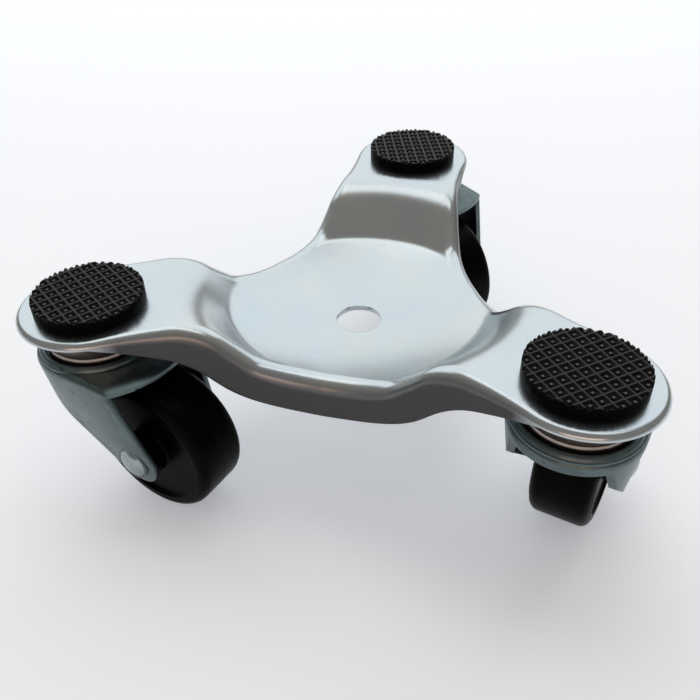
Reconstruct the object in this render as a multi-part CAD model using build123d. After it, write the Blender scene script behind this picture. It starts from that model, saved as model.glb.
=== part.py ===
from build123d import *

import os
from math import atan, cos, degrees, hypot, radians, sin, sqrt, tan

# A tri-dolly: a pressed steel plate with three arms, a rubber pad on each arm end
# and a swivel caster under it. Heights are worked out from the floor up, and the
# frame's origin is the middle of the centre hole.

# Arms of the plate, as angles from +X, and the way each fork trails at rest.
BACK_ARM_ANGLE = 90.0
ARM_STEP = 120.0
TRAIL_ANGLES = {"left": -16.0, "right": 76.0, "back": -43.0}
PAD_GRID_ANGLES = {"left": 54.0, "right": 40.0, "back": 20.0}
ARM_LENGTH = 88.0

# Wheel and axle.
WHEEL_DIAMETER = 50.0
WHEEL_WIDTH = 20.0
WHEEL_EDGE = 3.0
WHEEL_RIM = 5.0
WEB_DEPTH = 1.2
HUB_DIAMETER = 16.0
HUB_LENGTH = 25.6
AXLE_DIAMETER = 6.0
AXLE_HEAD_DIAMETER = 10.0
AXLE_HEAD_HEIGHT = 1.6
SLEEVE_WALL = 1.0
RUNNING_CLEARANCE = 0.05

# Fork, pressed from sheet. Its depths are measured down from the crown's lip.
FORK_SHEET = 2.0
FORK_HEIGHT = 32.6
TRAIL = 22.6
CROWN_DIAMETER = 41.0
CROWN_EDGE = 2.4
CROWN_RECESS_DIAMETER = 33.0
CROWN_RECESS_DEPTH = 1.7
BACK_RADIUS = 30.0
BACK_SLOPE = 4.5
BACK_DROP = 0.8
BACK_DEPTH = 2.4
APRON_DEPTH = 4.4
NOTCH_FORWARD = 13.4
KNEE_FORWARD = 9.0
KNEE_DEPTH = 14.5
KNEE_ROUND = 2.0
LEG_END_RADIUS = 9.0
LEG_GAP = 0.6
BOSS_DIAMETER = 12.0
BOSS_RISE = 0.8

# Swivel bearing.
BALL_DIAMETER = 5.0
BALL_CIRCLE_DIAMETER = 22.0
BALL_COUNT = 12
KING_PIN_DIAMETER = 9.0
KING_COLLAR_DIAMETER = 14.0
KING_HEAD_DIAMETER = 13.0
KING_END_DIAMETER = 13.0
KING_END_HEIGHT = 1.8
WASHER_DIAMETER = 18.0
WASHER_THICKNESS = 1.4
RACE_TOP_DIAMETER = 38.0
RACE_RIM_DIAMETER = 32.5
RACE_SHEET = 1.6
RACE_RIM_DROP = 2.4
RACE_SEAT = 8.0
SEAL_WIDTH = 1.5
SWIVEL_GAP = 0.3

# Plate, pressed from sheet.
PLATE_SHEET = 2.0
CENTRE_HOLE_DIAMETER = 16.0
HUB_RADIUS = 45.0
TIP_DIAMETER = 46.8
HUB_ARC_ANGLE = 2.8
BOWL_RIM_RADIUS = 44.5
BOWL_DEPTH = 8.0
BOWL_RIM_ROUND = 6.0
ARM_RISE = 16.0
SLOPE_TOP_RADIUS = 58.5
SLOPE_TOP_ROUND = 20.0
BEND_RADIUS = 3.0
SKIRT_DEPTH = 16.0
SKIRT_FLAT_RADIUS = 50.0
SKIRT_KNEE_RADIUS = 66.0
SKIRT_KNEE_DEPTH = 12.0
SKIRT_END_RADIUS = 92.0
SKIRT_ROUND = 28.0

# Pad, moulded in rubber with a waffle of square pits between crossing ribs.
PAD_DIAMETER = 35.0
PAD_THICKNESS = 4.5
WAFFLE_PITCH = 3.75
WAFFLE_RIB = 0.8
WAFFLE_DEPTH = 1.2
WAFFLE_FLOOR = 0.8

# Two places closer together than this count as the same.
NEAR = 0.01

arm_angles = {
    "left": BACK_ARM_ANGLE + ARM_STEP,
    "right": BACK_ARM_ANGLE - ARM_STEP,
    "back": BACK_ARM_ANGLE,
}

# Heights above the floor that follow from those sizes.
axle_z = WHEEL_DIAMETER / 2
lip_z = axle_z + FORK_HEIGHT
crown_z = lip_z - CROWN_RECESS_DEPTH
crown_under_z = crown_z - FORK_SHEET
race_under_z = crown_z + BALL_DIAMETER + 2 * RUNNING_CLEARANCE
race_rim_z = race_under_z - RACE_RIM_DROP
plate_under_z = race_under_z + RACE_SEAT
tip_z = plate_under_z + PLATE_SHEET
bowl_rim_z = tip_z - ARM_RISE
bowl_z = bowl_rim_z - BOWL_DEPTH
origin_z = bowl_z - PLATE_SHEET / 2

# Fork widths: the legs close in from the crown to flat bosses beside the wheel's hub.
seat_inside = HUB_LENGTH / 2 + LEG_GAP
leg_inside = seat_inside + BOSS_RISE
leg_outside = leg_inside + FORK_SHEET
seat_outside = leg_outside + BOSS_RISE
leg_lean = degrees(atan((CROWN_DIAMETER / 2 - leg_outside) / FORK_HEIGHT))
sleeve_radius = AXLE_DIAMETER / 2 + RUNNING_CLEARANCE + SLEEVE_WALL


def spun(points):
    """A solid of revolution about the Z axis from a closed outline of (radius, height) points."""
    outline = make_face(Polyline(*[(r, 0, z) for r, z in points], close=True))
    return revolve(outline, Axis.Z)


def disc(radius, low, high):
    """A plain disc about the Z axis."""
    return Pos(0, 0, low) * extrude(Circle(radius), high - low)


def arm_plan(shape_at_tip):
    """Copies of a plan shape, one on each arm."""
    return [Rot(0, 0, angle) * shape_at_tip for angle in arm_angles.values()]


def plate_outline():
    """The plate seen from above: a round hub that flares into three round arm ends."""
    touch = ARM_STEP / 2 - HUB_ARC_ANGLE / 2
    tip_radius = TIP_DIAMETER / 2
    along = ARM_LENGTH * cos(radians(touch))
    spare = HUB_RADIUS ** 2 + ARM_LENGTH ** 2 - tip_radius ** 2 - 2 * HUB_RADIUS * along
    flare = spare / (2 * (along + tip_radius - HUB_RADIUS))
    hub_side = Vector(HUB_RADIUS, 0).rotate(Axis.Z, touch)
    centre = hub_side * ((HUB_RADIUS + flare) / HUB_RADIUS)
    end = Vector(ARM_LENGTH, 0)
    tip_side = end + (centre - end).normalized() * tip_radius
    waist = centre + ((hub_side + tip_side) / 2 - centre).normalized() * flare
    side = ThreePointArc(hub_side, waist, tip_side)
    nose = ThreePointArc(tip_side, (ARM_LENGTH + tip_radius, 0), (tip_side.X, -tip_side.Y))
    hub = CenterArc((0, 0), HUB_RADIUS, touch, HUB_ARC_ANGLE)
    arm = [side, nose, mirror(side, about=Plane.XZ), hub]
    return make_face([edge for line in arm for turned in arm_plan(line) for edge in turned.edges()])


def under_top():
    """The half section under the plate's upper surface: dished hub, slope and flat arm."""
    reach = ARM_LENGTH + TIP_DIAMETER
    bowl_round = (BOWL_RIM_RADIUS ** 2 + BOWL_DEPTH ** 2) / (2 * BOWL_DEPTH)
    half = BOWL_RIM_RADIUS / 2
    half_z = bowl_z + bowl_round - sqrt(bowl_round ** 2 - half ** 2)
    bowl = ThreePointArc((0, 0, bowl_z), (half, 0, half_z), (BOWL_RIM_RADIUS, 0, bowl_rim_z))
    rest = Polyline(
        (BOWL_RIM_RADIUS, 0, bowl_rim_z),
        (SLOPE_TOP_RADIUS, 0, tip_z),
        (reach, 0, tip_z),
        (reach, 0, -axle_z),
        (0, 0, -axle_z),
        (0, 0, bowl_z),
    )
    section = Sketch() + make_face(bowl.edges() + rest.edges())
    section = fillet(corners_at(section, BOWL_RIM_RADIUS), BOWL_RIM_ROUND)
    return fillet(corners_at(section, SLOPE_TOP_RADIUS), SLOPE_TOP_ROUND)


def corners_at(section, distance):
    """The section's corners at a distance along X."""
    return [v for v in section.vertices() if abs(v.X - distance) < NEAR]


def below_skirt():
    """The half section under the skirt's lower edge, which rises to the sheet at the tips."""
    reach = ARM_LENGTH + TIP_DIAMETER
    section = make_face(
        Polyline(
            (0, 0, -2 * axle_z),
            (0, 0, bowl_rim_z - SKIRT_DEPTH),
            (SKIRT_FLAT_RADIUS, 0, bowl_rim_z - SKIRT_DEPTH),
            (SKIRT_KNEE_RADIUS, 0, tip_z - SKIRT_KNEE_DEPTH),
            (SKIRT_END_RADIUS, 0, plate_under_z),
            (reach, 0, plate_under_z),
            (reach, 0, -2 * axle_z),
            close=True,
        )
    )
    turns = corners_at(section, SKIRT_FLAT_RADIUS) + corners_at(section, SKIRT_KNEE_RADIUS)
    return fillet(turns, SKIRT_ROUND)


def pressing(outline, section, bend):
    """A deep drawn form: the plan outline under the section's upper line, with a round edge."""
    depth = 4 * axle_z
    column = Pos(0, 0, -axle_z) * extrude(outline, depth)
    form = column & revolve(section, Axis.Z)
    brink = [e for e in form.edges() if is_brink(e)]
    return fillet(brink, bend)


def is_brink(edge):
    """True for the edges where the upper surface meets the skirt."""
    middle = edge.center()
    return edge.bounding_box().min.Z > bowl_z and hypot(middle.X, middle.Y) > HUB_RADIUS / 2


def frame_plate():
    """The pressed plate, with its centre hole and the countersunk holes of the king pins."""
    outline = plate_outline()
    section = under_top()
    outer = pressing(outline, section, BEND_RADIUS)
    inside_outline = offset(outline, -PLATE_SHEET)
    inside_section = offset(section, -PLATE_SHEET)
    inner = pressing(inside_outline, inside_section, BEND_RADIUS - PLATE_SHEET)
    plate = outer - inner - revolve(below_skirt(), Axis.Z)
    plate -= disc(CENTRE_HOLE_DIAMETER / 2, bowl_z - 4 * PLATE_SHEET, tip_z)
    for angle in arm_angles.values():
        plate -= Rot(0, 0, angle) * Pos(ARM_LENGTH, 0, 0) * king_head()
    return plate


def king_head():
    """The countersunk head of a king pin, which fills its hole in the plate."""
    return spun(
        [
            (0, plate_under_z),
            (KING_PIN_DIAMETER / 2, plate_under_z),
            (KING_HEAD_DIAMETER / 2, tip_z),
            (0, tip_z),
        ]
    )


def king_pin():
    """The rivet that holds the fork: head, collar above the race, shank and peened end."""
    washer_z = crown_under_z - RUNNING_CLEARANCE - WASHER_THICKNESS
    pin = king_head() + disc(KING_COLLAR_DIAMETER / 2, race_under_z + RACE_SHEET, plate_under_z)
    pin += disc(KING_PIN_DIAMETER / 2, washer_z, plate_under_z)
    return pin + disc(KING_END_DIAMETER / 2, washer_z - KING_END_HEIGHT, washer_z)


def thrust_washer():
    """The washer between the fork's crown and the king pin's peened end."""
    top = crown_under_z - RUNNING_CLEARANCE
    ring = disc(WASHER_DIAMETER / 2, top - WASHER_THICKNESS, top)
    return ring - disc(KING_PIN_DIAMETER / 2, top - WASHER_THICKNESS, top)


def upper_race():
    """The pressed cup under the plate: a flat ball track and a round wall up to the plate."""
    rim = RACE_RIM_DIAMETER / 2
    top = RACE_TOP_DIAMETER / 2
    bulge = (top + rim) / 2 + RACE_SHEET / 2
    middle_z = (race_rim_z + plate_under_z) / 2
    wall = ThreePointArc((rim, 0, race_rim_z), (bulge, 0, middle_z), (top, 0, plate_under_z))
    inside = ThreePointArc(
        (top - RACE_SHEET, 0, plate_under_z),
        (bulge - RACE_SHEET, 0, middle_z),
        (rim - RACE_SHEET, 0, race_under_z + RACE_SHEET),
    )
    track = Polyline(
        (rim - RACE_SHEET, 0, race_under_z + RACE_SHEET),
        (KING_PIN_DIAMETER / 2, 0, race_under_z + RACE_SHEET),
        (KING_PIN_DIAMETER / 2, 0, race_under_z),
        (rim - RACE_SHEET, 0, race_under_z),
        (rim - RACE_SHEET, 0, race_rim_z),
        (rim, 0, race_rim_z),
    )
    over = Line((top, 0, plate_under_z), (top - RACE_SHEET, 0, plate_under_z))
    section = make_face(wall.edges() + over.edges() + inside.edges() + track.edges())
    return revolve(section, Axis.Z)


def race_balls():
    """The ring of balls between the upper race and the fork's crown."""
    middle_z = crown_z + RUNNING_CLEARANCE + BALL_DIAMETER / 2
    places = PolarLocations(BALL_CIRCLE_DIAMETER / 2, BALL_COUNT)
    return [Pos(0, 0, middle_z) * place * Sphere(BALL_DIAMETER / 2) for place in places]


def race_seal():
    """The black ring that closes the gap between the race's rim and the crown."""
    outside = CROWN_RECESS_DIAMETER / 2 - SWIVEL_GAP
    ring = disc(outside, crown_z + SWIVEL_GAP, race_rim_z)
    return ring - disc(outside - SEAL_WIDTH, crown_z + SWIVEL_GAP, race_rim_z)


def fork_plan(radius):
    """The fork seen from above: round in front, with straight sides to the back."""
    reach = TRAIL + CROWN_DIAMETER
    return Circle(radius) + Pos(reach / 2, 0) * Rectangle(reach, 2 * radius)


def leaning(radius, top):
    """The fork's plan drawn down from a height, closing in by the legs' lean."""
    drop = top - axle_z + 1.5 * LEG_END_RADIUS
    return Pos(0, 0, top) * extrude(fork_plan(radius), drop, dir=(0, 0, -1), taper=leg_lean)


def leg_side():
    """The fork seen from the side: crown, front apron and legs down to the axle."""
    front = -CROWN_DIAMETER
    apron_z = lip_z - APRON_DEPTH
    knee = (-KNEE_FORWARD, lip_z - KNEE_DEPTH)
    back = (sqrt(BACK_RADIUS ** 2 - (CROWN_DIAMETER / 2) ** 2), lip_z - BACK_DEPTH)
    foot = tangent_foot(knee, 1)
    heel = tangent_foot(back, -1)
    low = leg_bottom(foot, heel)
    top_line = Polyline(
        (heel[0], 0, heel[1]),
        (back[0], 0, back[1]),
        (BACK_RADIUS, 0, back[1]),
        (BACK_RADIUS, 0, lip_z),
        (front, 0, lip_z),
        (front, 0, apron_z),
        (-NOTCH_FORWARD, 0, apron_z),
        (knee[0], 0, knee[1]),
        (foot[0], 0, foot[1]),
    )
    end = ThreePointArc((foot[0], 0, foot[1]), (low[0], 0, low[1]), (heel[0], 0, heel[1]))
    side = make_face(top_line.edges() + end.edges())
    corners = corners_at(side, -NOTCH_FORWARD) + corners_at(side, -KNEE_FORWARD)
    return fillet(corners, KNEE_ROUND)


def tangent_foot(point, turn):
    """Where a line from the point touches the round leg end, on one side of it."""
    away = (point[0] - TRAIL, point[1] - axle_z)
    reach = hypot(*away)
    along = LEG_END_RADIUS ** 2 / reach
    across = turn * LEG_END_RADIUS * sqrt(1 - (LEG_END_RADIUS / reach) ** 2)
    unit = (away[0] / reach, away[1] / reach)
    return (
        TRAIL + along * unit[0] - across * unit[1],
        axle_z + along * unit[1] + across * unit[0],
    )


def leg_bottom(foot, heel):
    """The middle of the round leg end, on the far side of the line between its touching points."""
    chord = (heel[0] - foot[0], heel[1] - foot[1])
    reach = hypot(*chord)
    return (
        TRAIL + LEG_END_RADIUS * chord[1] / reach,
        axle_z - LEG_END_RADIUS * chord[0] / reach,
    )


def fork():
    """The pressed fork: a dished crown with a round lip and two leaning legs with bosses."""
    lean = radians(leg_lean)
    inside = CROWN_DIAMETER / 2 - (lip_z - crown_under_z) * tan(lean) - FORK_SHEET / cos(lean)
    hull = leaning(CROWN_DIAMETER / 2, lip_z)
    hull = fillet(hull.faces().sort_by(Axis.Z)[-1].edges(), CROWN_EDGE)
    hull &= revolve(round_back(), Axis.Z)
    shell = (hull - leaning(inside, crown_under_z)) & extrude(leg_side(), CROWN_DIAMETER, both=True)
    boss = extrude(Plane.XZ * Circle(BOSS_DIAMETER / 2), seat_outside, both=True)
    boss -= extrude(Plane.XZ * Circle(BOSS_DIAMETER), seat_inside, both=True)
    shell += Pos(TRAIL, 0, axle_z) * boss
    shell -= disc(CROWN_RECESS_DIAMETER / 2, crown_z, lip_z)
    shell -= disc(KING_PIN_DIAMETER / 2 + RUNNING_CLEARANCE, crown_under_z, crown_z)
    hole = extrude(Plane.XZ * Circle(AXLE_DIAMETER / 2), CROWN_DIAMETER, both=True)
    return shell - Pos(TRAIL, 0, axle_z) * hole


def round_back():
    """The half section that gives the crown a round back with a sloping edge, clear of the legs."""
    reach = BACK_RADIUS + CROWN_DIAMETER
    return make_face(
        Polyline(
            (0, 0, lip_z),
            (BACK_RADIUS - BACK_SLOPE, 0, lip_z),
            (BACK_RADIUS, 0, lip_z - BACK_DROP),
            (BACK_RADIUS, 0, lip_z - BACK_DEPTH),
            (reach, 0, lip_z - BACK_DEPTH),
            (reach, 0, -axle_z),
            (0, 0, -axle_z),
            close=True,
        )
    )


def axle_rivet():
    """The axle: a plain shank with a domed head against each boss."""
    shank = extrude(Plane.XZ * Circle(AXLE_DIAMETER / 2), seat_outside, both=True)
    return Pos(TRAIL, 0, axle_z) * (shank + rivet_head(90) + rivet_head(-90))


def rivet_head(turn):
    """A domed rivet head on the boss's outer seat."""
    dome_radius = ((AXLE_HEAD_DIAMETER / 2) ** 2 + AXLE_HEAD_HEIGHT ** 2) / (2 * AXLE_HEAD_HEIGHT)
    ball = Pos(0, 0, seat_outside + AXLE_HEAD_HEIGHT - dome_radius) * Sphere(dome_radius)
    return Rot(turn, 0, 0) * (ball & disc(AXLE_HEAD_DIAMETER, seat_outside, seat_outside + dome_radius))


def axle_sleeve():
    """The sleeve on the axle, clamped between the two bosses, on which the wheel turns."""
    bore = AXLE_DIAMETER / 2 + RUNNING_CLEARANCE
    sleeve = extrude(Plane.XZ * (Circle(sleeve_radius) - Circle(bore)), seat_inside, both=True)
    return Pos(TRAIL, 0, axle_z) * sleeve


def wheel():
    """The moulded wheel: a plain tread, a shallow web on each side and a hub."""
    half = WHEEL_WIDTH / 2
    tread = WHEEL_DIAMETER / 2
    body = extrude(Circle(tread), half, both=True)
    body = fillet(body.edges(), WHEEL_EDGE)
    web = extrude(Circle(tread - WHEEL_RIM) - Circle(HUB_DIAMETER / 2), WEB_DEPTH)
    body -= Pos(0, 0, half - WEB_DEPTH) * web
    body -= Pos(0, 0, -half) * web
    body += extrude(Circle(HUB_DIAMETER / 2), HUB_LENGTH / 2, both=True)
    body -= extrude(Circle(sleeve_radius + RUNNING_CLEARANCE), HUB_LENGTH, both=True)
    return Pos(TRAIL, 0, axle_z) * Rot(90, 0, 0) * body


def grip_pad(grid_angle):
    """The rubber pad: a plain disc with a waffle of tapering square pits in its top."""
    top = tip_z + PAD_THICKNESS
    mouth = WAFFLE_PITCH - WAFFLE_RIB
    slope = degrees(atan((mouth - WAFFLE_FLOOR) / 2 / WAFFLE_DEPTH))
    pit = extrude(Rectangle(mouth, mouth), WAFFLE_DEPTH, dir=(0, 0, -1), taper=slope)
    count = 2 * (int(PAD_DIAMETER / 2 / WAFFLE_PITCH) + 1)
    cells = GridLocations(WAFFLE_PITCH, WAFFLE_PITCH, count, count)
    held = [cell for cell in cells if hypot(cell.position.X, cell.position.Y) < PAD_DIAMETER / 2]
    pad = disc(PAD_DIAMETER / 2, tip_z, top)
    return pad - [Pos(0, 0, top) * Rot(0, 0, grid_angle) * cell * pit for cell in held]


def placed(solids, arm, turn=0.0):
    """Solids moved from a caster's own axis to the end of an arm, as separate solids."""
    angle = radians(arm_angles[arm])
    place = Pos(ARM_LENGTH * cos(angle), ARM_LENGTH * sin(angle), -origin_z) * Rot(0, 0, turn)
    return Compound(children=[place * solid for solid in solids])


def save(shape, node):
    """Writes one node's solids."""
    export_step(shape, f"parts/{node}.step")


def solids_of(shape):
    """The separate solids of one piece."""
    return list(shape.solids())


os.makedirs("parts", exist_ok=True)

save(Compound(children=[Pos(0, 0, -origin_z) * s for s in solids_of(frame_plate())]), "frame_plate")

fixed_pieces = {
    "upper_race": solids_of(upper_race()),
    "king_pin": solids_of(king_pin()),
    "race_balls": race_balls(),
    "race_seal": solids_of(race_seal()),
    "thrust_washer": solids_of(thrust_washer()),
}
turning_pieces = {
    "fork": solids_of(fork()),
    "axle_rivet": solids_of(axle_rivet()),
    "axle_sleeve": solids_of(axle_sleeve()),
    "wheel": solids_of(wheel()),
}
for arm in arm_angles:
    save(placed(solids_of(grip_pad(PAD_GRID_ANGLES[arm])), arm), f"grip_pad_{arm}")
    for piece, solids in fixed_pieces.items():
        save(placed(solids, arm), f"{piece}_{arm}")
    for piece, solids in turning_pieces.items():
        save(placed(solids, arm, TRAIL_ANGLES[arm]), f"{piece}_{arm}")
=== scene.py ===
from math import acos, atan, atan2, cos, pi, radians, sin, sqrt, tan

import bpy
from mathutils import Matrix, Vector


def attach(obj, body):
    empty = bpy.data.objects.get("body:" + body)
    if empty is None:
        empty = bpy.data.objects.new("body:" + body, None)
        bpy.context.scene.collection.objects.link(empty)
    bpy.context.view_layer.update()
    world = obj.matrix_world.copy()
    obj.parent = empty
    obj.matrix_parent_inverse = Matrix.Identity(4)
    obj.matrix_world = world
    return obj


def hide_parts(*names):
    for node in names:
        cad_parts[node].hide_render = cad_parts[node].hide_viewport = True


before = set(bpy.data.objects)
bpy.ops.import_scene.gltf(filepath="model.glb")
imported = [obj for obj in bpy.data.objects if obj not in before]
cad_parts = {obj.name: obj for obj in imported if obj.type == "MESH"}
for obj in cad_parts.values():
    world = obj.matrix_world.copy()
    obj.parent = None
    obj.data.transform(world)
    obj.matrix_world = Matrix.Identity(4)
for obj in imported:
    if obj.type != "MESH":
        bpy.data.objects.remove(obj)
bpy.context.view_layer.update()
MM = 0.001


# The plate: one blank of 2 mm steel, deep drawn to a dished hub and three raised arms
# with a skirt turned down all round, then sprayed with glossy silver paint.
# Half an arm is drawn as a net of columns and rows, then mirrored and turned twice.
SHEET = 2.0
PLATE_EDGE = 0.3
HOLE_RADIUS = 8.0
KING_HOLE_RADIUS = 6.5
ARM = 88.0
TIP_RADIUS = 23.15
HUB_RADIUS = 45.0
FLARE_RADIUS = 105.0
FLARE_CENTRE = (78.53, 127.8)
BOWL_Z = 1.0
BOWL_ROUND = 127.77
RIM = (44.5, 9.0)
RIM_ROUND = 6.0
SLOPE_TOP = (58.5, 25.0)
TOP_ROUND = 20.0
TIP_BEND = 2.2
HUB_BEND = 4.6
TILT_REACH = 2.5
SKIRT_LINE = [(0.0, -7.0, 0.0), (50.0, -7.0, 28.0), (66.0, 13.0, 28.0), (92.0, 23.0, 4.0), (120.0, 23.0, 0.0)]
TOP_ROWS = 44
EDGE_ROWS = 18
TIP_COLUMNS = 34
FLARE_COLUMNS = 103
COLUMNS = 106
KING_COLUMNS = 40
ARM_COLUMNS = 96
TIP_TURN = 94.24
HUB_TURN = 58.43
KING_TURN = 130
HALF_STEP = 60
BEND_COLUMNS = (26, 66)
# Columns and bend turns over which the skirt's painted shade comes in: none at the tips, full from the flare on.
SHADE_COLUMNS = (28, 40)
SHADE_TURN = (0.5, 1.4)


def rounded(corners, r):
    """Height at distance r along straight runs through (r, z, round) corners."""
    for (r0, z0, _), (r1, z1, turn), (r2, z2, _) in zip(corners, corners[1:], corners[2:]):
        a = atan2(z1 - z0, r1 - r0)
        b = atan2(z2 - z1, r2 - r1)
        reach = turn * tan(abs(b - a) / 2)
        start, end = r1 - reach * cos(a), r1 + reach * cos(b)
        if r < start:
            return z1 + (r - r1) * tan(a)
        if r < end:
            side = 1 if b > a else -1
            centre_r = start - side * turn * sin(a)
            centre_z = z1 - reach * sin(a) + side * turn * cos(a)
            return centre_z - side * sqrt(turn ** 2 - (r - centre_r) ** 2)
    return z1 + (r - r1) * tan(b)


def top(r):
    """Height of the plate's upper face at distance r from the hole's axis."""
    slope = atan2(SLOPE_TOP[1] - RIM[1], SLOPE_TOP[0] - RIM[0])
    up = (-sin(slope), cos(slope))
    bowl_centre = BOWL_Z + BOWL_ROUND
    base = (RIM[0] + RIM_ROUND * up[0], RIM[1] + RIM_ROUND * up[1] - bowl_centre)
    half = base[0] * cos(slope) + base[1] * sin(slope)
    reach = -half - sqrt(half ** 2 - base[0] ** 2 - base[1] ** 2 + (BOWL_ROUND - RIM_ROUND) ** 2)
    centre = (base[0] + reach * cos(slope), base[1] + reach * sin(slope))
    if r < centre[0] * BOWL_ROUND / (BOWL_ROUND - RIM_ROUND):
        return bowl_centre - sqrt(BOWL_ROUND ** 2 - r ** 2)
    if r < centre[0] - RIM_ROUND * up[0]:
        return bowl_centre + centre[1] - sqrt(RIM_ROUND ** 2 - (r - centre[0]) ** 2)
    return rounded([(*RIM, 0.0), (*SLOPE_TOP, TOP_ROUND), (2 * ARM, SLOPE_TOP[1], 0.0)], r)


def arc(centre, radius, start, end, share):
    """A point on an arc, from a start angle to an end angle in degrees."""
    angle = radians(start + (end - start) * share)
    return Vector((centre[0] + radius * cos(angle), centre[1] + radius * sin(angle)))


def rim_point(column):
    """Outline point and outward direction for a column, from the arm's tip along its flare to the hub."""
    if column <= TIP_COLUMNS:
        point = arc((ARM, 0), TIP_RADIUS, 0, TIP_TURN, column / TIP_COLUMNS)
        return point, (point - Vector((ARM, 0))).normalized()
    if column <= FLARE_COLUMNS:
        share = (column - TIP_COLUMNS) / (FLARE_COLUMNS - TIP_COLUMNS)
        point = arc(FLARE_CENTRE, FLARE_RADIUS, 180 + TIP_TURN, 180 + HUB_TURN, share)
        return point, (Vector(FLARE_CENTRE) - point).normalized()
    share = (column - FLARE_COLUMNS) / (COLUMNS - FLARE_COLUMNS)
    point = arc((0, 0), HUB_RADIUS, HUB_TURN, HALF_STEP, share)
    return point, point.normalized()


def inner_point(column):
    """Where a column starts: round the king pin's hole, along the arm and round the centre hole."""
    if column <= TIP_COLUMNS:
        return arc((ARM, 0), KING_HOLE_RADIUS, 0, KING_TURN, column / TIP_COLUMNS)
    if column <= KING_COLUMNS:
        share = (column - TIP_COLUMNS) / (KING_COLUMNS - TIP_COLUMNS)
        return arc((ARM, 0), KING_HOLE_RADIUS, KING_TURN, 180, share)
    if column <= ARM_COLUMNS:
        start = ARM - KING_HOLE_RADIUS
        share = (column - KING_COLUMNS) / (ARM_COLUMNS - KING_COLUMNS)
        return Vector((start + (HOLE_RADIUS - start) * share, 0))
    return arc((0, 0), HOLE_RADIUS, 0, HALF_STEP, (column - ARM_COLUMNS) / (COLUMNS - ARM_COLUMNS))


def within(span, value):
    """How far a value lies along a span, from 0 at its start to 1 at its end."""
    return min(max((value - span[0]) / (span[1] - span[0]), 0), 1)


def net_point(column, row):
    """A vertex of the net, upper face first and then the bend and skirt, and its share kept free of the skirt's painted
    shade (1 on the upper face).
    """
    rim, out = rim_point(column)
    ease = within(BEND_COLUMNS, column)
    bend = TIP_BEND + (HUB_BEND - TIP_BEND) * ease * ease * (3 - 2 * ease)
    back = rim - out * bend
    rise = (top(back.length + TILT_REACH) - top(back.length - TILT_REACH)) / (2 * TILT_REACH)
    tilt = atan(rise * out.dot(back.normalized()))
    edge = rim - out * bend * (1 + sin(tilt))
    if row <= TOP_ROWS:
        flat = inner_point(column).lerp(edge, row / TOP_ROWS)
        return (flat.x, flat.y, top(flat.length)), 1.0
    pivot = top(edge.length) - bend * cos(tilt)
    low = rounded(SKIRT_LINE, rim.length)
    last = acos((low - pivot) / bend) if low > pivot else pi / 2
    bend_length = bend * (last + tilt)
    length = (bend_length + max(pivot - low, 0)) * (row - TOP_ROWS) / EDGE_ROWS
    turn = min(length, bend_length) / bend - tilt
    flat = rim - out * bend * (1 - sin(turn))
    place = flat.x, flat.y, pivot + bend * cos(turn) - max(length - bend_length, 0)
    return place, 1 - within(SHADE_COLUMNS, column) * within(SHADE_TURN, turn)


def apply(piece, kind, **settings):
    """Adds a modifier to the active piece and applies it."""
    made = piece.modifiers.new(kind.lower(), kind)
    for name, value in settings.items():
        setattr(made, name, value)
    bpy.ops.object.modifier_apply(modifier=made.name)


bpy.ops.object.select_all(action="DESELECT")
bpy.ops.mesh.primitive_grid_add(x_subdivisions=COLUMNS, y_subdivisions=TOP_ROWS + EDGE_ROWS, size=1)
plate = bpy.context.object
plate.name = "plate"
# Each vertex carries how free it is of the skirt's painted shade, 1 on the upper face and 0 down the skirt.
unshaded = plate.data.attributes.new("unshaded", "FLOAT", "POINT")
for vertex in plate.data.vertices:
    column = round((vertex.co.x + 0.5) * COLUMNS)
    row = round((vertex.co.y + 0.5) * (TOP_ROWS + EDGE_ROWS))
    point, unshaded_part = net_point(column, row)
    vertex.co = Vector(point) * MM
    unshaded.data[vertex.index].value = unshaded_part
apply(plate, "MIRROR", use_axis=(False, True, False), use_clip=False, merge_threshold=0.01 * MM)
bpy.ops.object.mode_set(mode="EDIT")
bpy.ops.mesh.select_all(action="SELECT")
bpy.ops.transform.rotate(value=radians(-90), orient_axis="Z", center_override=(0, 0, 0))
for _ in range(2):
    bpy.ops.mesh.duplicate()
    bpy.ops.transform.rotate(value=radians(2 * HALF_STEP), orient_axis="Z", center_override=(0, 0, 0))
bpy.ops.mesh.select_all(action="SELECT")
bpy.ops.mesh.remove_doubles(threshold=0.02 * MM)
bpy.ops.mesh.normals_make_consistent(inside=False)
bpy.ops.object.mode_set(mode="OBJECT")

apply(plate, "SOLIDIFY", thickness=SHEET * MM, offset=-1, use_even_offset=True)
apply(plate, "BEVEL", width=PLATE_EDGE * MM, segments=2, limit_method="ANGLE", angle_limit=radians(50))
bpy.ops.object.shade_smooth_by_angle(angle=radians(40))


def linear(code):
    """A colour given as sRGB hex, in the shader's linear values."""
    parts = [int(code[i:i + 2], 16) / 255 for i in (1, 3, 5)]
    return (*[p / 12.92 if p <= 0.04045 else ((p + 0.055) / 1.055) ** 2.4 for p in parts], 1)


def add(tree, kind, inputs, **settings):
    """Adds a shader node with its settings, and links or sets its inputs."""
    made = tree.nodes.new(kind)
    for name, value in settings.items():
        setattr(made, name, value)
    for socket, value in inputs.items():
        if isinstance(value, bpy.types.NodeSocket):
            tree.links.new(value, made.inputs[socket])
        else:
            made.inputs[socket].default_value = value
    return made


def coating(name, inputs):
    """A new material with its Principled shader's inputs set, its node tree and its shader."""
    material = bpy.data.materials.new(name)
    material.use_nodes = True
    shader = material.node_tree.nodes["Principled BSDF"]
    for socket, value in inputs.items():
        shader.inputs[socket].default_value = value
    return material, material.node_tree, shader


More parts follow.
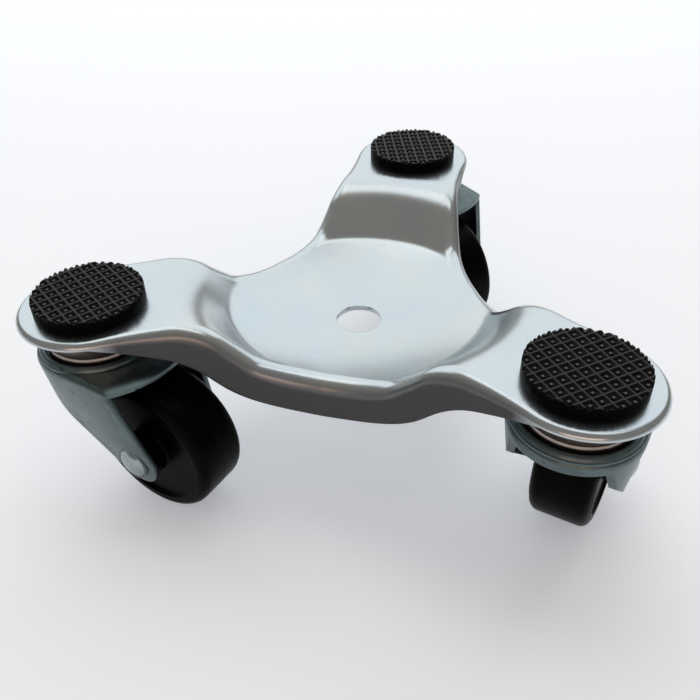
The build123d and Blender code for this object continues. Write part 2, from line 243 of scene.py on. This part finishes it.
def spots(tree, place, size, detail, low, high, dark, light):
    """Noise with spots of a size in millimetres, stretched from a dark to a light colour."""
    noise = add(tree, "ShaderNodeTexNoise", {"Vector": place, "Scale": 1 / (size * MM), "Detail": detail})
    ramp = add(tree, "ShaderNodeValToRGB", {"Fac": noise.outputs["Fac"]})
    ramp.color_ramp.elements[0].position = low
    ramp.color_ramp.elements[1].position = high
    ramp.color_ramp.elements[0].color = dark
    ramp.color_ramp.elements[1].color = light
    return ramp.outputs["Color"]


# Sprayed aluminium-flake paint: a fine grain of flakes and a skin that is a little uneven. The
# deep skirt and lower bend are painted dark grey and rougher: painted shade for the dark surroundings mirrored there.
silver, tree, shader = coating("silver_paint", {"Metallic": 1.0})
place = add(tree, "ShaderNodeTexCoord", {}).outputs["Object"]
unshaded_fac = add(tree, "ShaderNodeAttribute", {}, attribute_name="unshaded").outputs["Fac"]
cool = spots(tree, place, 0.25, 2, 0.3, 0.7, linear("#b5c0c7"), linear("#c3ced4"))
warm = spots(tree, place, 0.25, 2, 0.3, 0.7, linear("#bfc6c6"), linear("#cdd3d3"))
patches = spots(tree, place, 26, 4, 0.3, 0.7, (0, 0, 0, 1), (1, 1, 1, 1))
flakes = add(tree, "ShaderNodeMix", {"Factor": patches, "A": cool, "B": warm}, data_type="RGBA")
# Painted shade: the dark grey the skirt gets in place of the silver flakes.
painted_skirt_shade = spots(tree, place, 0.25, 2, 0.3, 0.7, linear("#474646"), linear("#525150"))
mixed = add(tree, "ShaderNodeMix", {"Factor": unshaded_fac, "A": painted_skirt_shade, "B": flakes.outputs["Result"]}, data_type="RGBA")
tree.links.new(mixed.outputs["Result"], shader.inputs["Base Color"])
sheen = add(tree, "ShaderNodeMapRange", {"Value": unshaded_fac, "To Min": 0.36, "To Max": 0.24})
tree.links.new(sheen.outputs["Result"], shader.inputs["Roughness"])
skin_noise = add(tree, "ShaderNodeTexNoise", {"Vector": place, "Scale": 1 / (9 * MM), "Detail": 2})
orange_peel = add(tree, "ShaderNodeBump", {"Height": skin_noise.outputs["Fac"], "Strength": 0.08, "Distance": 0.4 * MM})
tree.links.new(orange_peel.outputs["Normal"], shader.inputs["Normal"])
plate.data.materials.append(silver)
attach(plate, "frame")
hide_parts("frame_plate")


# The grip pads: black rubber discs, moulded with crossing ribs over the top face and
# glued to the flat of each arm end. A small nub stands in each pit between the ribs.
ARMS = {"left": 210, "right": 330, "back": 90}
GRID_ANGLES = {"left": 54, "right": 40, "back": 20}
PAD_RADIUS = 17.5
PAD_LOW, PAD_HIGH = 25.0, 29.5
PITCH = 3.75
RIB = 0.5
PIT_FLOOR = 2.0
PIT_DEPTH = 0.85
NUB_FOOT = 1.5
NUB_TOP = 0.8
NUB_HEIGHT = 0.6
PAD_EDGE = 0.2
CELLS = 12
CUT_BELOW = 1.0
SIDE_BAND = 0.3
FLOOR_BAND = 0.1
STEEP, FLAT = 0.3, 0.7
NUB_SHEEN, RIB_SHEEN, PIT_SHEEN, SIDE_SHEEN = 1.0, 0.45, 0.25, 0.0


def tip(arm, turn):
    """The caster's axis at an arm's end, with the caster's own direction turned from +X."""
    angle = radians(ARMS[arm])
    end = Matrix.Translation((ARM * MM * cos(angle), ARM * MM * sin(angle), 0))
    return end @ Matrix.Rotation(radians(turn), 4, "Z")


def copies(pattern, name, turns, body, node):
    """Puts a copy of a piece on each arm, in place of a CAD node and riding on a body."""
    for arm, turn in turns.items():
        piece = pattern.copy()
        piece.data = pattern.data.copy()
        piece.name = f"{name}_{arm}"
        piece.data.transform(tip(arm, turn))
        bpy.context.scene.collection.objects.link(piece)
        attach(piece, body.format(arm))
        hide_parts(f"{node}_{arm}")
    bpy.data.objects.remove(pattern)


bpy.ops.object.select_all(action="DESELECT")
bpy.ops.mesh.primitive_cylinder_add(vertices=160, radius=PAD_RADIUS * MM, depth=(PAD_HIGH - PAD_LOW) * MM)
cutter = bpy.context.object
cutter.data.transform(Matrix.Translation((0, 0, (PAD_LOW + PAD_HIGH) / 2 * MM)))
bpy.ops.object.select_all(action="DESELECT")
bpy.ops.mesh.primitive_grid_add(x_subdivisions=CELLS, y_subdivisions=CELLS, size=CELLS * PITCH * MM)
pad = bpy.context.object
pad.data.transform(Matrix.Translation((0, 0, PAD_HIGH * MM)))
bpy.ops.object.mode_set(mode="EDIT")
bpy.ops.mesh.select_all(action="SELECT")
bpy.ops.mesh.inset(thickness=RIB / 2 * MM, use_individual=True)
bpy.ops.mesh.inset(thickness=(PITCH - RIB - PIT_FLOOR) / 2 * MM, depth=-PIT_DEPTH * MM, use_individual=True)
bpy.ops.mesh.inset(thickness=(PIT_FLOOR - NUB_FOOT) / 2 * MM, use_individual=True)
bpy.ops.mesh.inset(thickness=(NUB_FOOT - NUB_TOP) / 2 * MM, depth=NUB_HEIGHT * MM, use_individual=True)
bpy.ops.mesh.select_all(action="DESELECT")
bpy.ops.mesh.select_mode(type="EDGE")
bpy.ops.mesh.select_non_manifold()
bpy.ops.mesh.extrude_edges_move(TRANSFORM_OT_translate={"value": (0, 0, -(PAD_HIGH - PAD_LOW + CUT_BELOW) * MM)})
bpy.ops.mesh.edge_face_add()
bpy.ops.mesh.select_all(action="SELECT")
bpy.ops.mesh.normals_make_consistent(inside=False)
bpy.ops.object.mode_set(mode="OBJECT")
apply(pad, "BOOLEAN", operation="INTERSECT", object=cutter, solver="EXACT")
bpy.data.objects.remove(cutter)
apply(pad, "BEVEL", width=PAD_EDGE * MM, segments=2, limit_method="ANGLE", angle_limit=radians(30))
bpy.ops.object.shade_smooth_by_angle(angle=radians(35))
gloss = pad.data.attributes.new("gloss", "FLOAT", "FACE")
for face in pad.data.polygons:
    depth = PAD_HIGH - face.center.z / MM
    rubbed = PIT_SHEEN
    if abs(face.normal.z) < STEEP and face.center.xy.length > (PAD_RADIUS - SIDE_BAND) * MM:
        rubbed = SIDE_SHEEN
    elif depth < PAD_EDGE:
        rubbed = RIB_SHEEN
    elif face.normal.z > FLAT and depth < PIT_DEPTH - FLOOR_BAND:
        rubbed = NUB_SHEEN
    gloss.data[face.index].value = rubbed
# Moulded rubber, dull black and faintly dusty: rubbed to a sheen on the ribs and nubs,
# duller in the pits, with a dead matt side.
rubber, tree, shader = coating("moulded_black_rubber", {"Roughness": 0.42})
shine = add(tree, "ShaderNodeAttribute", {}, attribute_name="gloss").outputs["Fac"]
level = add(tree, "ShaderNodeMapRange", {"Value": shine, "To Min": 0.02, "To Max": 0.65})
tree.links.new(level.outputs["Result"], shader.inputs["Specular IOR Level"])
place = add(tree, "ShaderNodeTexCoord", {}).outputs["Object"]
dust = spots(tree, place, 1.2, 4, 0.35, 0.7, linear("#050606"), linear("#0a0b0b"))
tree.links.new(dust, shader.inputs["Base Color"])
pad.data.materials.append(rubber)
copies(pad, "pad", GRID_ANGLES, "frame", "grip_pad")


# The race cups: deep drawn zinc-plated steel cups riveted under the arm ends. The
# cup narrows downwards to a rolled rim, which hangs over the balls.
# Heights in the outlines are measured from the floor, which lies below the hole's middle.
FLOOR = -46.0
RACE = [
    (4.6, 61.0), (14.6, 61.0), (14.6, 59.4), (14.75, 58.9), (15.2, 58.65), (15.6, 58.6), (16.0, 58.8), (16.2, 59.2),
    (16.2, 59.6), (16.05, 60.0), (15.95, 60.3), (16.1, 60.8), (16.6, 61.9), (17.2, 63.3), (17.8, 64.8), (18.35, 66.3),
    (18.75, 67.6), (19.0, 69.0), (17.4, 69.0), (16.6, 66.2), (15.0, 63.3), (14.0, 62.6), (4.6, 62.6),
]


def turned(name, outline, steps):
    """A turned piece about the Z axis from a closed outline of (radius, height) points."""
    bpy.ops.object.select_all(action="DESELECT")
    mesh = bpy.data.meshes.new(name)
    mesh.from_pydata([(r * MM, 0, z * MM) for r, z in outline],
                     [(i, (i + 1) % len(outline)) for i in range(len(outline))], [])
    piece = bpy.data.objects.new(name, mesh)
    bpy.context.scene.collection.objects.link(piece)
    bpy.context.view_layer.objects.active = piece
    piece.select_set(True)
    bpy.ops.object.mode_set(mode="EDIT")
    bpy.ops.mesh.select_all(action="SELECT")
    bpy.ops.mesh.spin(steps=steps, angle=2 * pi, center=(0, 0, 0), axis=(0, 0, 1))
    bpy.ops.mesh.select_all(action="SELECT")
    bpy.ops.mesh.remove_doubles(threshold=0.005 * MM)
    bpy.ops.mesh.normals_make_consistent(inside=False)
    bpy.ops.object.mode_set(mode="OBJECT")
    bpy.ops.object.shade_smooth_by_angle(angle=radians(35))
    return piece


race = turned("race", [(r, z + FLOOR) for r, z in RACE], 128)
# Bright zinc plating over drawn steel, with a faint grey bloom.
cup_zinc, tree, shader = coating("zinc_plated_cup", {"Metallic": 1.0, "Roughness": 0.36})
place = add(tree, "ShaderNodeTexCoord", {}).outputs["Object"]
bloom = spots(tree, place, 3.0, 3, 0.3, 0.75, linear("#a09690"), linear("#b7ada7"))
tree.links.new(bloom, shader.inputs["Base Color"])
race.data.materials.append(cup_zinc)
copies(race, "race", ARMS, "frame", "upper_race")


# Inside the swivel: a king pin peened over a washer, a ring of balls that runs in
# the cup, and a black ring that keeps dirt from them. They stay as the CAD made them.

def dress(pieces):
    """Gives the CAD's own nodes on every arm their materials."""
    for arm in ARMS:
        for node, material in pieces.items():
            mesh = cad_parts[f"{node}_{arm}"].data
            mesh.materials.clear()
            mesh.materials.append(material)


# Hardened and polished bearing steel, with a smear of grease.
balls_steel, tree, shader = coating("polished_ball_steel", {"Metallic": 1.0, "Base Color": linear("#c4c5c7")})
place = add(tree, "ShaderNodeTexCoord", {}).outputs["Object"]
smear = spots(tree, place, 2.0, 2, 0.3, 0.7, (0.08, 0.08, 0.08, 1), (0.2, 0.2, 0.2, 1))
tree.links.new(smear, shader.inputs["Roughness"])
# Soft black rubber, a little grimy.
seal_black, tree, shader = coating("black_seal_rubber", {"Roughness": 0.6})
place = add(tree, "ShaderNodeTexCoord", {}).outputs["Object"]
grime = spots(tree, place, 1.5, 3, 0.3, 0.7, linear("#0a0a0a"), linear("#141414"))
tree.links.new(grime, shader.inputs["Base Color"])
dress({"king_pin": cup_zinc, "thrust_washer": cup_zinc, "race_balls": balls_steel, "race_seal": seal_black})


# The forks: pressed from 2 mm zinc-plated sheet, with a dished crown that holds the
# balls, a turned-down edge and two legs that close in to the wheel's hub.
TRAILS = {"left": -16, "right": 76, "back": -43}
LIP = [
    (16.8, 56.6), (16.8, 58.0), (16.95, 58.5), (17.3, 58.8), (17.8, 58.9), (18.3, 58.8), (18.7, 58.45), (18.95, 58.0),
    (19.15, 57.65), (19.6, 57.45), (19.6, 56.6),
]
FORK_EDGE = 0.3
# Dull blue-grey zinc plating, clouded and with a few dark knocks.
fork_zinc, tree, shader = coating("zinc_plated_sheet", {"Metallic": 1.0, "Roughness": 0.34})
place = add(tree, "ShaderNodeTexCoord", {}).outputs["Object"]
spangle = spots(tree, place, 4.0, 4, 0.3, 0.7, linear("#586567"), linear("#667475"))
knocks = spots(tree, place, 3.2, 6, 0.66, 0.69, (0, 0, 0, 1), (1, 1, 1, 1))
marked = add(tree, "ShaderNodeMix", {"Factor": knocks, "A": spangle, "B": linear("#3a4142")}, data_type="RGBA")
tree.links.new(marked.outputs["Result"], shader.inputs["Base Color"])
for arm in ARMS:
    bpy.ops.object.select_all(action="DESELECT")
    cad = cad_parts[f"fork_{arm}"]
    fork = bpy.data.objects.new(f"fork_sheet_{arm}", cad.data.copy())
    bpy.context.scene.collection.objects.link(fork)
    bpy.context.view_layer.objects.active = fork
    fork.select_set(True)
    bpy.ops.object.mode_set(mode="EDIT")
    bpy.ops.mesh.select_all(action="SELECT")
    bpy.ops.mesh.customdata_custom_splitnormals_clear()
    bpy.ops.mesh.remove_doubles(threshold=0.005 * MM)
    bpy.ops.mesh.dissolve_limited(angle_limit=radians(1))
    bpy.ops.object.mode_set(mode="OBJECT")
    apply(fork, "BEVEL", width=FORK_EDGE * MM, segments=2, limit_method="ANGLE", angle_limit=radians(40))
    lip = turned(f"lip_{arm}", [(r, z + FLOOR) for r, z in LIP], 96)
    lip.data.transform(tip(arm, 0))
    fork.select_set(True)
    bpy.context.view_layer.objects.active = fork
    bpy.ops.object.join()
    bpy.ops.object.shade_smooth_by_angle(angle=radians(30))
    fork.data.materials.clear()
    fork.data.materials.append(fork_zinc)
    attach(fork, f"swivel_{arm}")
    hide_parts(f"fork_{arm}")


# The axles: steel rivets with domed heads against the legs, through a sleeve that the
# legs clamp and the wheel turns on.
# Brighter zinc on the upset heads, clouded a little.
rivet_zinc, tree, shader = coating("bright_zinc_rivet", {"Metallic": 1.0, "Roughness": 0.2})
place = add(tree, "ShaderNodeTexCoord", {}).outputs["Object"]
bright = spots(tree, place, 1.5, 3, 0.3, 0.7, linear("#8d9999"), linear("#a3aeae"))
tree.links.new(bright, shader.inputs["Base Color"])
dress({"axle_rivet": rivet_zinc, "axle_sleeve": balls_steel})


# The wheels: moulded in one piece of black nylon, with a faint parting line round the
# tread, a thin step at the shoulder and a shallow web round the hub.
TRAIL = 22.6
AXLE = 25.0 + FLOOR
HALF_WHEEL = [
    (4.1, 12.8), (7.6, 12.8), (8.0, 12.4), (8.0, 9.4), (8.6, 8.8), (19.4, 8.8), (20.0, 9.3), (20.0, 9.7), (20.3, 10.0),
    (21.9, 10.0), (22.05, 9.8), (22.5, 9.75), (23.3, 9.45), (24.0, 8.9), (24.5, 8.2), (24.8, 7.5), (24.9, 6.6),
    (24.9, 0.4), (24.9, 0.2), (24.96, 0.1),
]
wheel = turned("wheel", HALF_WHEEL + [(r, -z) for r, z in reversed(HALF_WHEEL)], 160)
wheel.data.transform(Matrix.Translation((TRAIL * MM, 0, AXLE * MM)) @ Matrix.Rotation(radians(90), 4, "X"))
# Matt black nylon with faint scuffs.
wheel_black, tree, shader = coating("black_nylon", {"Roughness": 0.34, "Specular IOR Level": 0.04})
place = add(tree, "ShaderNodeTexCoord", {}).outputs["Object"]
scuff = spots(tree, place, 2.5, 4, 0.35, 0.7, linear("#020202"), linear("#050505"))
tree.links.new(scuff, shader.inputs["Base Color"])
wheel.data.materials.append(wheel_black)
copies(wheel, "wheel_nylon", TRAILS, "roller_{}", "wheel")


# The studio: a pale paper floor that the wheels stand on, and soft light from large panels.
# The paper's lift to white shows only where the floor is seen or mirrored, and lights nothing.
FLOOR_SIZE = 3.2
LIFT = 0.32
bpy.ops.object.select_all(action="DESELECT")
bpy.ops.mesh.primitive_plane_add(size=FLOOR_SIZE, location=(0, 0, FLOOR * MM))
floor = bpy.context.object
floor.name = "floor"
paper, tree, shader = coating("white_studio_paper", {"Base Color": linear("#ffffff"), "Roughness": 0.9,
                                                    "Specular IOR Level": 0.1})
shader.inputs["Emission Color"].default_value = linear("#e8f3ff")
ray = add(tree, "ShaderNodeLightPath", {}).outputs
mirrored = add(tree, "ShaderNodeMath", {0: ray["Is Glossy Ray"], 1: ray["Is Transmission Ray"]}, operation="MAXIMUM")
seen = add(tree, "ShaderNodeMath", {0: ray["Is Camera Ray"], 1: mirrored.outputs["Value"]}, operation="MAXIMUM")
lift = add(tree, "ShaderNodeMath", {0: seen.outputs["Value"], 1: LIFT}, operation="MULTIPLY")
tree.links.new(lift.outputs["Value"], shader.inputs["Emission Strength"])
floor.data.materials.append(paper)


def panel(name, place, size, power, colour):
    """A soft rectangular lamp that faces the middle of the plate."""
    lamp = bpy.data.lights.new(name, "AREA")
    lamp.shape = "RECTANGLE"
    lamp.size, lamp.size_y = size
    lamp.energy = power
    lamp.color = linear(colour)[:3]
    thing = bpy.data.objects.new(name, lamp)
    thing.location = place
    thing.rotation_euler = (-Vector(place)).to_track_quat("-Z", "Y").to_euler()
    bpy.context.scene.collection.objects.link(thing)


panel("window", (-0.35, 1.2, 0.95), (3.2, 1.6), 16.2, "#f4faff")
panel("overhead", (0.0, 0.33, 1.35), (1.4, 0.5), 2.6, "#ffffff")
panel("fill", (0.2, -1.1, 0.4), (1.0, 0.4), 1.6, "#ffcfba")
world = bpy.data.worlds.new("studio")
bpy.context.scene.world = world
world.use_nodes = True
sky = world.node_tree.nodes["Background"]
sky.inputs["Color"].default_value = linear("#f3eae1")
sky.inputs["Strength"].default_value = 0.32
bpy.context.scene.view_settings.view_transform = "Standard"

# The camera stands where the photo was taken from, as fitted to the pads, hole, races and wheels.
lens = bpy.data.cameras.new("camera")
lens.lens = 40.01
lens.sensor_width = 36
camera = bpy.data.objects.new("camera", lens)
camera.location = (0.06075, -0.21754, 0.16352)
camera.rotation_euler = (radians(51.988), radians(1.181), radians(15.566))
bpy.context.scene.collection.objects.link(camera)
bpy.context.scene.camera = camera
